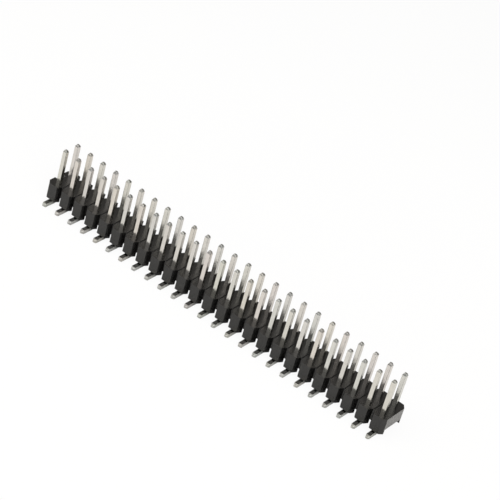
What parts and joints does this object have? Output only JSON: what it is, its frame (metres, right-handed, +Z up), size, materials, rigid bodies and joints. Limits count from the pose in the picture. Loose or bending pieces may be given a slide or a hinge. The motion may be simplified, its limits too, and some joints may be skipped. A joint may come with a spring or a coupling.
{
  "type": "surface-mount pin header strip",
  "caption": "Straight double-row pin header strip: square metal pins through a flat black housing, bent below it into surface-mount solder tails.",
  "frame": {"origin": "centre of the strip in plan, on the plane of the solder tails' undersides", "axes": "+X along the strip, +Z up along the mating posts, front row of pins at -Y"},
  "size_m": [0.0634, 0.0078, 0.0093],
  "materials": {
    "housing_plastic": "satin",
    "tinned_pin": "bright tin plate"
  },
  "bodies": {
    "root": {"housing": "housing_plastic", "pin_front_01": "tinned_pin", "pin_front_02": "tinned_pin", "pin_front_03": "tinned_pin", "pin_front_04": "tinned_pin", "pin_front_05": "tinned_pin", "pin_front_06": "tinned_pin", "pin_front_07": "tinned_pin", "pin_front_08": "tinned_pin", "pin_front_09": "tinned_pin", "pin_front_10": "tinned_pin", "pin_front_11": "tinned_pin", "pin_front_12": "tinned_pin", "pin_front_13": "tinned_pin", "pin_front_14": "tinned_pin", "pin_front_15": "tinned_pin", "pin_front_16": "tinned_pin", "pin_front_17": "tinned_pin", "pin_front_18": "tinned_pin", "pin_front_19": "tinned_pin", "pin_front_20": "tinned_pin", "pin_front_21": "tinned_pin", "pin_front_22": "tinned_pin", "pin_front_23": "tinned_pin", "pin_front_24": "tinned_pin", "pin_front_25": "tinned_pin", "pin_back_01": "tinned_pin", "pin_back_02": "tinned_pin", "pin_back_03": "tinned_pin", "pin_back_04": "tinned_pin", "pin_back_05": "tinned_pin", "pin_back_06": "tinned_pin", "pin_back_07": "tinned_pin", "pin_back_08": "tinned_pin", "pin_back_09": "tinned_pin", "pin_back_10": "tinned_pin", "pin_back_11": "tinned_pin", "pin_back_12": "tinned_pin", "pin_back_13": "tinned_pin", "pin_back_14": "tinned_pin", "pin_back_15": "tinned_pin", "pin_back_16": "tinned_pin", "pin_back_17": "tinned_pin", "pin_back_18": "tinned_pin", "pin_back_19": "tinned_pin", "pin_back_20": "tinned_pin", "pin_back_21": "tinned_pin", "pin_back_22": "tinned_pin", "pin_back_23": "tinned_pin", "pin_back_24": "tinned_pin", "pin_back_25": "tinned_pin"}
  },
  "joints": []
}
